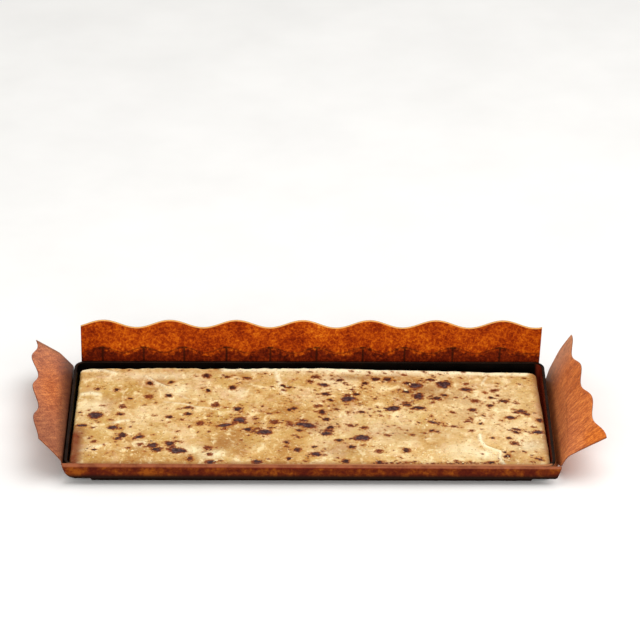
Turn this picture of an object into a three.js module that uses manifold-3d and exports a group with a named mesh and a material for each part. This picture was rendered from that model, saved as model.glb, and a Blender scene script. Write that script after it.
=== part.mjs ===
// A slab of nougat in its low plastic tray, on a marbled paper liner with scalloped flaps.
// Millimetres. +X is to the right, +Y to the back and +Z up. The origin is at the centre of the
// tray, on the flat underside of the paper.
import * as THREE from "three";
import { ImprovedNoise } from "three/addons/math/ImprovedNoise.js";
import { mergeVertices } from "three/addons/utils/BufferGeometryUtils.js";
import Module from "manifold-3d";

const wasm = await Module();
wasm.setup();

// The tray: a thin shell with a rolled lip
const rimLength = 234;
const rimDepth = 101.6;
const rimTop = 9.5;
const rimRadius = 6;
const lipWidth = 1.5;
const lipHeight = 1.3;
const lipRound = 0.35;
const wall = 0.6;
const floorThickness = 0.5;
const footRadius = 1;
const draft = Math.tan(THREE.MathUtils.degToRad(8));
const trayCornerSteps = 6;

// The paper, and the air left between pieces that only rest on each other
const paper = 0.4;
const gap = 0.3;
const foldRadius = 0.8;
const tuckedIn = 3;
const baseHalfLength = 116;
const baseCorner = 12;
const baseCornerSteps = 4;
const flapDepth = 100;

// The slab of nougat
const slabLength = 228.4;
const slabDepth = 94.2;
const slabDrop = 1.7;
const slabCrown = 0.5;
const slabCorner = 4;
const slabTopRound = 1.5;
const slabFootBevel = 1.1;
const slabSteps = { x: 58, y: 26 };
const slabCrowding = 5;
const slabDent = 0.4;
const frontSpread = 0.5;
const backRight = { from: -10, to: 110, pulledIn: 2.2, narrowed: 1.2, sunk: 1 };
const waviness = [
  { height: 0.38, across: 24, deep: 13 },
  { height: 0.24, across: 9, deep: 7 },
];

// The largest flecks of spice and nut skin: place, length, width and turn of each
const largestFlecks = [
  [-104, -1, 7.5, 7, 20],
  [-95, -13, 5, 4, 0],
  [-90, -20, 4, 5, 0],
  [-82, -22, 6, 2.5, 25],
  [-75, -30, 5, 5, 0],
  [-67, -28, 5, 4, 25],
  [-63, -35, 8.5, 6, -5],
  [-57, -42, 3, 4.5, 0],
  [-51, 38, 4, 5, 0],
  [-38, 26, 3.5, 4.5, 0],
  [-41, -11, 9.5, 3, 12],
  [-34, -6, 7, 6, 15],
  [-22, -18, 9, 5, 0],
  [-17, -8, 4.5, 4.5, 0],
  [-2, -11, 12, 4.5, -20],
  [8, -19, 5, 4, 0],
  [25, -23, 9, 6, 0],
  [19, 15, 8, 6, 0],
  [6, 2, 3.5, 5, 0],
  [7, 29, 6, 3, -20],
  [3, -38, 5.5, 4, 0],
  [41, 6, 8, 5, 15],
  [54, 19, 5.5, 8, 0],
  [67, 32, 7.5, 8, 0],
  [53, 30, 8, 5.5, 0],
  [78, 27, 6, 3, 0],
  [63, 17, 4, 4, 0],
  [98, -2, 5.5, 3, 0],
  [110, -16, 6.5, 3, 0],
  [54, 7, 6.5, 3, -8],
  [96, 15, 6, 2.5, -5],
  [39, 36, 4, 4.5, 0],
];

// The smaller flecks, and the shape of them all
const smallerFlecks = 24;
const smallerFleckLength = [2.5, 4];
const fleckMargin = 7;
const fleckClearance = 7;
const fleckSides = 7;
const fleckProud = 0.28;

// The scalloped flaps: their waves along the edge, then at each end where the paper is folded at
// its foot, how far it reaches from there, and its slopes. It leaves wallSlope for openSlope, and
// openSlope for tipSlope, between two distances from the fold.
const waveSteps = 8;
const leftFlap = {
  waves: { length: 31.6, height: 1.8, peak: -2.6 },
  easing: 1,
  front: {
    foot: 116.7,
    reach: 29.5,
    bend: { wallSlope: 89, openSlope: 52, tipSlope: 49, leave: [10, 13], curl: [16, 22] },
  },
  back: {
    foot: 116.7,
    reach: 31.5,
    bend: { wallSlope: 89, openSlope: 49, tipSlope: 32, leave: [5.5, 8], curl: [15, 19] },
  },
};
const rightFlap = {
  waves: { length: 31.7, height: 1.8, peak: 15.6 },
  easing: 2.2,
  front: {
    foot: 117.7,
    reach: 34.2,
    bend: { wallSlope: 83, openSlope: 62, tipSlope: 30, leave: [8, 12], curl: [12, 18] },
  },
  back: {
    foot: 117.4,
    reach: 26.7,
    bend: { wallSlope: 70, openSlope: 67, tipSlope: 56, leave: [4, 9], curl: [14, 24] },
  },
};
const backFlap = {
  waves: { length: 32.9, height: 2, peak: -102.6 },
  ends: [-113.8, 114.4],
  rightFlare: 1.4,
  reach: 29.9,
  bend: { wallSlope: 89.5, openSlope: 87.5, tipSlope: 86.5, leave: [9, 14], curl: [16, 26] },
};

// At the front the paper leans out past the lip, turns outward over it and hangs down a little
const frontWall = {
  ends: [-117.6, 119.4],
  endSlant: 0.32,
  cornerRounds: [4, 1],
  clearance: 0.5,
  left: {
    reach: 20.6,
    bend: { wallSlope: 76, openSlope: -25, tipSlope: -96, leave: [11, 12.6], curl: [13.4, 14.8] },
  },
  right: {
    reach: 18,
    bend: { wallSlope: 76, openSlope: -14, tipSlope: -96, leave: [9.4, 11], curl: [11.5, 12.9] },
  },
};

// Below the rim the paper is cut away at its corners, between two heights: widely at the front
const frontCut = { depth: 14, from: 0.4, to: 10 };
const backCut = { depth: 1.5, from: 1, to: 6 };

// Derived heights
const trayUnderside = paper + gap;
const trayFloor = trayUnderside + floorThickness;
const slabUnderside = trayFloor + gap;
const slabTop = rimTop - slabDrop;

const noise = new ImprovedNoise();
const mix = THREE.MathUtils.lerp;
const ramp = (value, from, to) => THREE.MathUtils.smoothstep(value, from, to);
const radians = THREE.MathUtils.degToRad;

// A geometry from points and triangles, turned so that its faces point out
function closedGeometry(points, triangles) {
  let volume = 0;
  const normal = new THREE.Vector3();
  for (const [a, b, c] of triangles) {
    volume += points[a].dot(normal.crossVectors(points[b], points[c]));
  }
  const outward = volume > 0 ? triangles : triangles.map(([a, b, c]) => [a, c, b]);
  const geometry = new THREE.BufferGeometry().setFromPoints(points);
  geometry.setIndex(outward.flat());
  geometry.computeVertexNormals();
  return geometry;
}

function solidOf(geometry) {
  const bare = geometry.clone();
  bare.deleteAttribute("normal");
  bare.deleteAttribute("uv");
  const merged = mergeVertices(bare, 1e-4);
  return new wasm.Manifold(
    new wasm.Mesh({
      numProp: 3,
      vertProperties: new Float32Array(merged.attributes.position.array),
      triVerts: new Uint32Array(merged.index.array),
    }),
  );
}

function geometryOf(solid) {
  const mesh = solid.getMesh();
  const geometry = new THREE.BufferGeometry();
  geometry.setAttribute("position", new THREE.BufferAttribute(mesh.vertProperties, 3));
  geometry.setIndex(new THREE.BufferAttribute(mesh.triVerts, 1));
  geometry.computeVertexNormals();
  return geometry;
}

function joined(geometries) {
  const [first, ...rest] = geometries.map(solidOf);
  return geometryOf(rest.reduce((whole, piece) => whole.add(piece), first));
}

// One level ring of a rounded rectangle, anticlockwise seen from above
function roundedRing(halfX, halfY, radius, z, cornerSteps) {
  const ring = [];
  for (let corner = 0; corner < 4; corner += 1) {
    const centreX = (corner === 0 || corner === 3 ? 1 : -1) * (halfX - radius);
    const centreY = (corner < 2 ? 1 : -1) * (halfY - radius);
    for (let step = 0; step <= cornerSteps; step += 1) {
      const turn = ((corner + step / cornerSteps) * Math.PI) / 2;
      const x = centreX + radius * Math.cos(turn);
      const y = centreY + radius * Math.sin(turn);
      ring.push(new THREE.Vector3(x, y, z));
    }
  }
  return ring;
}

// A closed solid through rings of equal length, with a fan over the first and the last
function loftedSolid(rings) {
  const count = rings[0].length;
  const points = rings.flat();
  const triangles = [];
  for (let level = 0; level + 1 < rings.length; level += 1) {
    for (let i = 0; i < count; i += 1) {
      const a = level * count + i;
      const b = level * count + ((i + 1) % count);
      triangles.push([a, b, b + count], [a, b + count, a + count]);
    }
  }
  const last = (rings.length - 1) * count;
  for (const [start, turned] of [[0, true], [last, false]]) {
    const centre = points.length;
    const ring = points.slice(start, start + count);
    points.push(ring.reduce((sum, p) => sum.add(p), new THREE.Vector3()).divideScalar(count));
    for (let i = 0; i < count; i += 1) {
      const a = start + i;
      const b = start + ((i + 1) % count);
      triangles.push(turned ? [centre, b, a] : [centre, a, b]);
    }
  }
  return closedGeometry(points, triangles);
}

// How far the tray's wall stands in from the edge of the rim, at a height
const outerInset = (z) => lipWidth - wall + (rimTop - z) * draft;
const innerInset = (z) => lipWidth + (rimTop - z) * draft;

function trayGeometry() {
  const lipUnderside = rimTop - lipHeight;
  const half = footRadius / 2;
  const quarter = footRadius / 4;
  const section = [
    [outerInset(trayUnderside) + footRadius, trayUnderside],
    [outerInset(trayUnderside) + quarter, trayUnderside + quarter],
    [outerInset(trayUnderside + footRadius), trayUnderside + footRadius],
    [outerInset(lipUnderside), lipUnderside],
    [lipRound, lipUnderside],
    [0, lipUnderside + lipRound],
    [0, rimTop - lipRound],
    [lipRound / 3, rimTop - lipRound / 3],
    [lipRound, rimTop],
    [lipWidth - lipRound, rimTop],
    [lipWidth - lipRound / 3, rimTop - lipRound / 3],
    [innerInset(rimTop - lipRound), rimTop - lipRound],
    [innerInset(trayFloor + footRadius), trayFloor + footRadius],
    [innerInset(trayFloor) + quarter, trayFloor + quarter],
    [innerInset(trayFloor) + footRadius, trayFloor],
  ];
  const rings = section.map(([inset, z]) =>
    roundedRing(
      rimLength / 2 - inset,
      rimDepth / 2 - inset,
      Math.max(rimRadius - inset, half),
      z,
      trayCornerSteps,
    ),
  );
  return loftedSolid(rings);
}

// Moves a grid line towards the edge of the slab, so that its rounding has enough lines
function crowded(distance, half) {
  const towardsEdge = (d) => (d * d) / (d + slabCrowding);
  return (towardsEdge(distance) * half) / towardsEdge(half);
}

// The slab doesn't lie square in the tray: how far a place in it is moved, and sinks, towards the
// back right
function settled(x, y) {
  const backward = ramp(y, -slabDepth / 2, slabDepth / 2);
  const rightward = ramp(x, backRight.from, backRight.to);
  return {
    x: -backRight.narrowed * backward * rightward,
    y: -backRight.pulledIn * backward * rightward,
    z: -backRight.sunk * ramp(y, 0, slabDepth / 2) * rightward,
  };
}

// Its upper edges spread against the leaning walls of the tray, most of all at the front
function spread(x, y) {
  const forward = 1 - ramp(y, -slabDepth / 2, slabDepth / 2);
  return (frontSpread * forward * x * 2) / slabLength;
}

// How far the slab's outline is pulled in, which makes its edges uneven
function outlineDent(x, y) {
  const wander = noise.noise(x / 19 + 3.1, y / 15 - 7.3, 0.4);
  return slabDent * Math.abs(wander);
}

// Height of the slab's face above its nominal level
function relief(x, y) {
  const crown = (1 - ((2 * x) / slabLength) ** 2) * (1 - ((2 * y) / slabDepth) ** 2);
  let height = slabCrown * Math.max(crown, 0) ** 0.5 + settled(x, y).z;
  waviness.forEach(({ height: size, across, deep }, octave) => {
    height += size * noise.noise(x / across, y / deep, 5.7 + octave);
  });
  return height;
}

// The slab, with a rounded upper edge and a bevelled foot that is cut off level at its underside
function slabGeometry() {
  const halfX = slabLength / 2;
  const halfY = slabDepth / 2;
  const levels = 2;
  const block = new THREE.BoxGeometry(
    slabLength, slabDepth, levels, slabSteps.x, slabSteps.y, levels,
  );
  block.deleteAttribute("normal");
  block.deleteAttribute("uv");
  const geometry = mergeVertices(block, 1e-4);
  const position = geometry.attributes.position;
  const point = new THREE.Vector3();
  for (let i = 0; i < position.count; i += 1) {
    point.fromBufferAttribute(position, i);
    const level = Math.round(point.z) + 1;
    const fromSide = crowded(halfX - Math.abs(point.x), halfX);
    const fromFront = crowded(halfY - Math.abs(point.y), halfY);
    let reachX = halfX - fromSide;
    let reachY = halfY - fromFront;
    let edge = Math.min(fromSide, fromFront);
    const cornerX = reachX - (halfX - slabCorner);
    const cornerY = reachY - (halfY - slabCorner);
    if (cornerX > 0 && cornerY > 0) {
      const squeeze = Math.max(cornerX, cornerY) / Math.hypot(cornerX, cornerY);
      reachX = halfX - slabCorner + cornerX * squeeze;
      reachY = halfY - slabCorner + cornerY * squeeze;
      edge = slabCorner - Math.max(cornerX, cornerY);
    }
    const x = Math.sign(point.x) * reachX;
    const y = Math.sign(point.y) * reachY;
    const nearEdge = 1 - ramp(edge, 0, slabTopRound * 2);
    const bevel = level === 0 ? slabFootBevel * 2 : 0;
    const pull = (outlineDent(x, y) + bevel) * nearEdge;
    const inFromRound = Math.max(slabTopRound - edge, 0);
    const topFall = slabTopRound - Math.sqrt(slabTopRound ** 2 - inFromRound ** 2);
    const moved = settled(x, y);
    const waves = (relief(x, y) - moved.z) * (1 - 0.6 * nearEdge);
    const face = slabTop - topFall + moved.z + waves;
    const z = [slabUnderside - slabFootBevel, slabUnderside + slabFootBevel, face][level];
    const spreadX = level === levels ? spread(x, y) : 0;
    position.setXYZ(
      i, x * (1 - pull / halfX) + moved.x + spreadX, y * (1 - pull / halfY) + moved.y, z,
    );
  }
  const below = new THREE.BoxGeometry(slabLength * 2, slabDepth * 2, slabTop);
  below.translate(0, 0, slabUnderside - slabTop / 2);
  return geometryOf(solidOf(geometry).subtract(solidOf(below)));
}

// A repeatable stream of numbers from 0 to 1
function seededDraws(seed) {
  let state = seed;
  return () => {
    state = (state * 16807) % 2147483647;
    return state / 2147483647;
  };
}

// The smaller flecks keep clear of each other and lie closest in the middle and at the back
function scatteredFlecks() {
  const draw = seededDraws(41);
  const flecks = [...largestFlecks];
  while (flecks.length < largestFlecks.length + smallerFlecks) {
    const x = (draw() - 0.5) * (slabLength - 2 * fleckMargin);
    const y = (draw() - 0.5) * (slabDepth - 2 * fleckMargin);
    const wanted = 0.35 + 0.65 * Math.exp(-(((x - 25) / 70) ** 2)) * ramp(y, -45, 20);
    const length = mix(...smallerFleckLength, draw());
    const width = length * mix(0.5, 0.9, draw());
    const turn = mix(-40, 40, draw());
    const crowdedOut = flecks.some(([fx, fy]) => Math.hypot(fx - x, fy - y) < fleckClearance);
    if (draw() < wanted && !crowdedOut) flecks.push([x, y, length, width, turn]);
  }
  return flecks;
}

// A low uneven lens, sunk so that only its crown stands proud of the slab
function fleckGeometry([x, y, length, width, turn]) {
  const rounds = [[1, -0.9], [1, 0.35], [0.6, 1]];
  const rings = rounds.map(([spread, level]) => {
    const ring = [];
    for (let side = 0; side < fleckSides; side += 1) {
      const angle = (side / fleckSides) * Math.PI * 2;
      const uneven = 1 + 0.22 * noise.noise(x + side * 1.7, y, 2.5);
      const px = (Math.cos(angle) * spread * uneven * length) / 2;
      const py = (Math.sin(angle) * spread * uneven * width) / 2;
      ring.push(new THREE.Vector3(px, py, level * fleckProud));
    }
    return ring;
  });
  const geometry = loftedSolid(rings);
  const moved = settled(x, y);
  geometry.rotateZ(radians(turn));
  geometry.translate(x + moved.x, y + moved.y, slabTop + relief(x, y));
  return geometry;
}

function nougatGeometry() {
  return joined([slabGeometry(), ...scatteredFlecks().map(fleckGeometry)]);
}

// A sheet of paper through its sections: each lists points on the inner and on the outer face
function sheetSolid(sections) {
  const rings = sections.map(({ inner, outer }) => [...inner, ...[...outer].reverse()]);
  const count = rings[0].length;
  const points = rings.flat();
  const triangles = [];
  const quad = (a, b, c, d) => triangles.push([a, b, c], [a, c, d]);
  for (let j = 0; j + 1 < rings.length; j += 1) {
    for (let i = 0; i < count; i += 1) {
      const a = j * count + i;
      const b = j * count + ((i + 1) % count);
      quad(a, b, b + count, a + count);
    }
  }
  const last = (rings.length - 1) * count;
  for (let k = 0; k + 1 < count / 2; k += 1) {
    const far = count - 1 - k;
    quad(k + 1, k, far, far - 1);
    quad(last + k, last + k + 1, last + far - 1, last + far);
  }
  return closedGeometry(points, triangles);
}

// The paper's course from the fold at its foot, as pairs of distance out and height, for both
// faces. The slope turns from level to wallSlope in the fold, to openSlope where the paper leaves
// the tray, and to tipSlope where it curls out.
function paperCourse({ wallSlope, openSlope, tipSlope, leave, curl, reach }, steps) {
  const foldLength = foldRadius * radians(wallSlope);
  const slopeAt = (s) => {
    const walled = wallSlope * THREE.MathUtils.clamp(s / foldLength, 0, 1);
    const opened = mix(walled, openSlope, ramp(s, leave[0], leave[1]));
    return radians(mix(opened, tipSlope, ramp(s, curl[0], curl[1])));
  };
  const stations = [-tuckedIn, 0, foldLength / 2];
  for (let step = 0; step <= steps; step += 1) {
    stations.push(mix(foldLength, reach, step / steps));
  }
  const course = { inner: [], outer: [] };
  const substep = 0.05;
  let out = -tuckedIn;
  let up = paper;
  let s = -tuckedIn;
  for (const station of stations) {
    while (s < station - 1e-9) {
      const stride = Math.min(substep, station - s, s < 0 ? -s : Infinity);
      const slope = s < 0 ? 0 : slopeAt(s + stride / 2);
      out += Math.cos(slope) * stride;
      up += Math.sin(slope) * stride;
      s += stride;
    }
    const slope = s <= 0 ? 0 : slopeAt(s);
    course.inner.push([out, up]);
    course.outer.push([out + Math.sin(slope) * paper, up - Math.cos(slope) * paper]);
  }
  return course;
}

const scallop = (along, { length, height, peak }) =>
  height * Math.cos(((along - peak) / length) * Math.PI * 2);

const mixedBend = (front, back, t) =>
  Object.fromEntries(
    Object.entries(front).map(([key, value]) => [
      key,
      Array.isArray(value) ? value.map((v, i) => mix(v, back[key][i], t)) : mix(value, back[key], t),
    ]),
  );

const cutAt = ({ depth, from, to }, up) => depth * (1 - ramp(up, from, to));

// A side wall with its flap, from the front end to the back end. sign is -1 on the left.
function sideSheet(sign, { waves, easing, front, back }) {
  const sections = [];
  const steps = Math.round((flapDepth / waves.length) * waveSteps);
  for (let step = 0; step <= steps; step += 1) {
    const t = step / steps;
    const bend = mixedBend(front.bend, back.bend, 1 - (1 - t) ** easing);
    const waved = scallop(mix(-flapDepth / 2, flapDepth / 2, t), waves);
    const course = paperCourse({ ...bend, reach: mix(front.reach, back.reach, t) + waved }, 6);
    const foot = mix(front.foot, back.foot, t);
    const place = ([out, up]) => {
      const frontEnd = -flapDepth / 2 + cutAt(frontCut, up);
      const backEnd = flapDepth / 2 - cutAt(backCut, up);
      return new THREE.Vector3(sign * (foot + out), mix(frontEnd, backEnd, t), up);
    };
    sections.push({ inner: course.inner.map(place), outer: course.outer.map(place) });
  }
  return sheetSolid(sections);
}

// The back wall with its upright flap, from its left end to its right end
function backSheet() {
  const { waves, ends, rightFlare, reach, bend } = backFlap;
  const foot = rimDepth / 2 + gap - foldRadius;
  const steps = Math.round(((ends[1] - ends[0]) / waves.length) * waveSteps);
  const sections = [];
  for (let step = 0; step <= steps; step += 1) {
    const t = step / steps;
    const across = mix(...ends, t);
    const course = paperCourse({ ...bend, reach: reach + scallop(across, waves) }, 3);
    const place = ([out, up]) =>
      new THREE.Vector3(across + (t * rightFlare * up) / reach, foot + out, up);
    sections.push({ inner: course.inner.map(place), outer: course.outer.map(place) });
  }
  return sheetSolid(sections);
}

const frontFoot = () => {
  const { wallSlope } = frontWall.left.bend;
  const lean = (rimTop - lipHeight - paper) / Math.tan(radians(wallSlope));
  return rimDepth / 2 + frontWall.clearance - lean - foldRadius;
};

// How far a rounded corner takes the end of an edge in, at a height above that corner
function roundedCut(radius, above) {
  const below = THREE.MathUtils.clamp(radius - above, 0, radius);
  return radius - Math.sqrt(radius ** 2 - below ** 2);
}

// The front wall with its folded flap, whose hanging ends are slanted and rounded
function frontSheet() {
  const { ends, endSlant, cornerRounds, left, right } = frontWall;
  const steps = 18;
  const firstHanging = 14;
  const sections = [];
  for (const t of [0, 0.5, 1]) {
    const reach = mix(left.reach, right.reach, t);
    const course = paperCourse({ ...mixedBend(left.bend, right.bend, t), reach }, steps);
    const tip = course.inner.at(-1)[1];
    const ridge = Math.max(...course.inner.map(([, up]) => up));
    const place = ([out, up], i) => {
      const slanted = endSlant * (ridge - up);
      const [leftCut, rightCut] = cornerRounds.map((radius) =>
        i < firstHanging ? cutAt(frontCut, up) : slanted + roundedCut(radius, up - tip),
      );
      const across = mix(ends[0] + leftCut, ends[1] - rightCut, t);
      return new THREE.Vector3(across, -(frontFoot() + out), up);
    };
    sections.push({ inner: course.inner.map(place), outer: course.outer.map(place) });
  }
  return sheetSolid(sections);
}

// The level sheet under the tray, with rounded front corners
function linerBase() {
  const back = rimDepth / 2 - tuckedIn / 2;
  const front = -(frontFoot() - tuckedIn / 2);
  const arcX = baseHalfLength - baseCorner;
  const arcY = front + baseCorner;
  const outline = new THREE.Shape();
  outline.moveTo(baseHalfLength, back);
  outline.lineTo(-baseHalfLength, back);
  outline.absarc(-arcX, arcY, baseCorner, Math.PI, Math.PI * 1.5);
  outline.absarc(arcX, arcY, baseCorner, Math.PI * 1.5, Math.PI * 2);
  return new THREE.ExtrudeGeometry(outline, {
    depth: paper,
    bevelEnabled: false,
    curveSegments: baseCornerSteps,
  });
}

function linerGeometry() {
  return joined([
    linerBase(),
    frontSheet(),
    backSheet(),
    sideSheet(-1, leftFlap),
    sideSheet(1, rightFlap),
  ]);
}

function part(name, geometry, color, roughness) {
  const material = new THREE.MeshStandardMaterial({ color, roughness, metalness: 0 });
  const mesh = new THREE.Mesh(geometry, material);
  mesh.name = name;
  return mesh;
}

const nougatBlock = new THREE.Group();
nougatBlock.add(
  part("nougat", nougatGeometry(), 0xe8c998, 0.7),
  part("tray", trayGeometry(), 0x2a1512, 0.25),
  part("liner", linerGeometry(), 0xa9541e, 0.5),
);

export default nougatBlock;
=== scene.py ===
import math
import bpy
import numpy as np
from mathutils import Matrix, Vector, noise
from mathutils.bvhtree import BVHTree


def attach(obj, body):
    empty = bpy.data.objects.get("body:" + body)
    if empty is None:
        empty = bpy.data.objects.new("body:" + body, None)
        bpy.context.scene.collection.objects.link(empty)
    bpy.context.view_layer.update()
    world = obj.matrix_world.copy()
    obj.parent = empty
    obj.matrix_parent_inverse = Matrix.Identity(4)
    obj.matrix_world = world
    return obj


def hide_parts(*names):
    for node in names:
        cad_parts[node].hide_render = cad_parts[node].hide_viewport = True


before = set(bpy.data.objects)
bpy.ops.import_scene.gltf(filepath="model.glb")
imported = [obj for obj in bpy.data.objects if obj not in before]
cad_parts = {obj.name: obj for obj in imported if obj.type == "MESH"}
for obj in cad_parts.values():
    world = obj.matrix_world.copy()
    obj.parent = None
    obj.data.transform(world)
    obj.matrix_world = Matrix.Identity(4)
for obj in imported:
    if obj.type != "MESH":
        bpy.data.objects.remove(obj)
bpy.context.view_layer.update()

# Sizes are in millimetres up to the moment a mesh is made, then metres
MM = 0.001

# The tray and the slab, as in the part's source
RIM_LENGTH = 234
RIM_DEPTH = 101.6
RIM_TOP = 9.5
RIM_RADIUS = 6
LIP_WIDTH = 1.5
LIP_HEIGHT = 1.3
LIP_ROUND = 0.35
WALL = 0.6
TRAY_UNDERSIDE = 0.7
TRAY_FLOOR = 1.2
FOOT_RADIUS = 1
DRAFT = math.tan(math.radians(8))
SLAB_LENGTH = 228.4
SLAB_DEPTH = 94.2
SLAB_CORNER = 4
SLAB_TOP_ROUND = 1.5
SLAB_UNDERSIDE = 1.5
SLAB_FOOT_BEVEL = 1.1
FRONT_SPREAD = 0.5
BACK_RIGHT_FROM = -10
BACK_RIGHT_TO = 110
PULLED_IN = 2.2
NARROWED = 1.2

# The paper liner, as in the part's source
PAPER = 0.4
GAP = 0.3
FOLD_RADIUS = 0.8
TUCKED_IN = 3
BASE_HALF_LENGTH = 116
BASE_CORNER = 12
FLAP_DEPTH = 100
LEFT_FLAP = {
    "waves": (31.6, 1.8, -2.6),
    "easing": 1,
    "front": (116.7, 29.5, {"wall": 89, "open": 52, "tip": 49, "leave": (10, 13), "curl": (16, 22)}),
    "back": (116.7, 31.5, {"wall": 89, "open": 49, "tip": 32, "leave": (5.5, 8), "curl": (15, 19)}),
}
RIGHT_FLAP = {
    "waves": (31.7, 1.8, 15.6),
    "easing": 2.2,
    "front": (117.7, 34.2, {"wall": 83, "open": 62, "tip": 30, "leave": (8, 12), "curl": (12, 18)}),
    "back": (117.4, 26.7, {"wall": 70, "open": 67, "tip": 56, "leave": (4, 9), "curl": (14, 24)}),
}
BACK_WAVES = (32.9, 2, -102.6)
BACK_ENDS = (-113.8, 114.4)
BACK_FLARE = 1.4
BACK_REACH = 29.9
BACK_BEND = {"wall": 89.5, "open": 87.5, "tip": 86.5, "leave": (9, 14), "curl": (16, 26)}
FRONT_ENDS = (-117.6, 119.4)
FRONT_CLEARANCE = 0.5
FRONT_SLANT = 0.32
FRONT_ROUNDS = (4, 1)
FRONT_LEFT = (20.6, {"wall": 76, "open": -25, "tip": -96, "leave": (11, 12.6), "curl": (13.4, 14.8)})
FRONT_RIGHT = (18, {"wall": 76, "open": -14, "tip": -96, "leave": (9.4, 11), "curl": (11.5, 12.9)})
FRONT_LEAN = (RIM_TOP - LIP_HEIGHT - PAPER) / math.tan(math.radians(FRONT_LEFT[1]["wall"]))
FRONT_FOOT = RIM_DEPTH / 2 + FRONT_CLEARANCE - FRONT_LEAN - FOLD_RADIUS
FRONT_CUT = (14, 0.4, 10)
BACK_CUT = (1.5, 1, 6)
# Where the pressed ticks stand along the back flap, with an arch between each two
TICKS = [-103.2, -82.8, -62.6, -41.6, -19.8, 3.2, 26.2, 47, 70.9, 94.3]

# Flecks of spice and nut skin that are raised in the part's source: place, length, width, turn
RAISED_FLECKS = [
    (-104, -1, 7.5, 7, 20), (-95, -13, 5, 4, 0), (-90, -20, 4, 5, 0), (-82, -22, 6, 2.5, 25),
    (-75, -30, 5, 5, 0), (-67, -28, 5, 4, 25), (-63, -35, 8.5, 6, -5), (-57, -42, 3, 4.5, 0),
    (-51, 38, 4, 5, 0), (-38, 26, 3.5, 4.5, 0), (-41, -11, 9.5, 3, 12), (-34, -6, 7, 6, 15),
    (-22, -18, 9, 5, 0), (-17, -8, 4.5, 4.5, 0), (-2, -11, 12, 4.5, -20), (8, -19, 5, 4, 0),
    (25, -23, 9, 6, 0), (19, 15, 8, 6, 0), (6, 2, 3.5, 5, 0), (7, 29, 6, 3, -20),
    (3, -38, 5.5, 4, 0), (41, 6, 8, 5, 15), (54, 19, 5.5, 8, 0), (67, 32, 7.5, 8, 0),
    (53, 30, 8, 5.5, 0), (78, 27, 6, 3, 0), (63, 17, 4, 4, 0), (98, -2, 5.5, 3, 0),
    (110, -16, 6.5, 3, 0), (54, 7, 6.5, 3, -8), (96, 15, 6, 2.5, -5), (39, 36, 4, 4.5, 0),
]
RAISED_SMALLER = 24
RAISED_SEED = 41
# Flatter ones that the source leaves out
FLAT_FLECKS = [
    (-92, -23, 4, 2.5, 0), (-81, -29, 2.5, 3, 0), (-73, -34, 4.5, 4, 0), (-49, -32, 4.5, 3, 0),
    (-48, -38, 3, 3, 0), (-47, -45, 5, 3, 0), (-41, 37, 3, 3, 0), (-50, 23, 2.5, 3.5, 0),
    (-79, 17, 4, 3.5, 0), (-69, 18, 3, 3.5, 0), (-79, 31, 3.5, 4.5, 0), (-95, 24, 2.5, 3, 0),
    (-92, 0, 3.5, 2, 0), (-68, -3, 3.5, 3, 0), (-59, 0, 3.5, 3, 0), (-53, -9, 4, 4.5, 0),
    (-46, 9, 4, 3.5, 0), (-35, 5, 4.5, 3.5, 0), (-110, -11, 5, 2.5, 0), (-30, -15, 4.5, 3, -10),
    (-25, -45, 5, 3.5, 0), (-13, 28, 3, 3.5, 0), (-10, 4, 2.5, 3, 0), (-6, -34, 3.5, 4.5, 0),
    (-10, -42, 2.5, 3, 0), (-5, -16, 3.5, 2, 0), (-31, 36, 4, 2, -20), (10, -13, 3.5, 4, 0),
    (8, -5, 3.5, 4, 0), (4, 8, 4, 2.5, 0), (8, 20, 4, 3.5, 0), (3, 37, 4, 3, -20),
    (2, -31, 3, 2, 0), (14, -25, 3.5, 2.5, 0), (23, 20, 3.5, 3.5, 20), (20, -11, 4, 2.5, -20),
    (26, -13, 3, 3, 0), (20, -31, 3.5, 3, -10), (33, -35, 3.5, 3.5, 0), (33, -45, 3.5, 3, 0),
    (17, -44, 3.5, 4, 0), (15, 34, 3.5, 3, 0), (33, 36, 4, 4, 0), (46, -34, 3.5, 4.5, 0),
    (48, 10, 4.5, 3, 0), (48, 24, 4, 3.5, 0), (49, 32, 4, 3, -10), (61, 37, 4.5, 2.5, 0),
    (67, 21, 3.5, 2.5, -15), (60, -7, 6, 2, -25), (70, -11, 3.5, 2, 0), (70, 3, 3, 2.5, 0),
    (80, 6, 4, 3, 0), (82, 15, 4, 3, -10), (89, 10, 3.5, 3, 0), (90, 19, 2.5, 3, 0),
    (104, 5, 4.5, 2, -15), (112, -4, 3.5, 4, -20), (98, -27, 4, 3.5, 0), (86, -45, 3.5, 2.5, 0),
    (96, -22, 3, 2, 0), (88, -22, 2, 2, 0), (93, -35, 2.2, 2, 0), (97, -35, 2.2, 1.3, -10),
    (102, -35, 2.2, 1.3, -15), (109, -42, 5, 1, -25), (100, -13, 5, 1.8, -15), (97, -14, 2.5, 1.4, 0),
    (83, -8, 2, 3, -40), (77, -6, 4, 1.5, 15), (106, 2, 4, 2, -30), (103, 4, 4.5, 1.6, -10),
]

# Seeded ones, smaller still: how many, the shortest and the longest
SEED = 11
SMALL_FLECKS = (520, 0.8, 2.6)
SPECKS = (2000, 0.45, 1.1)
EDGE_BITS = 70

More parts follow.
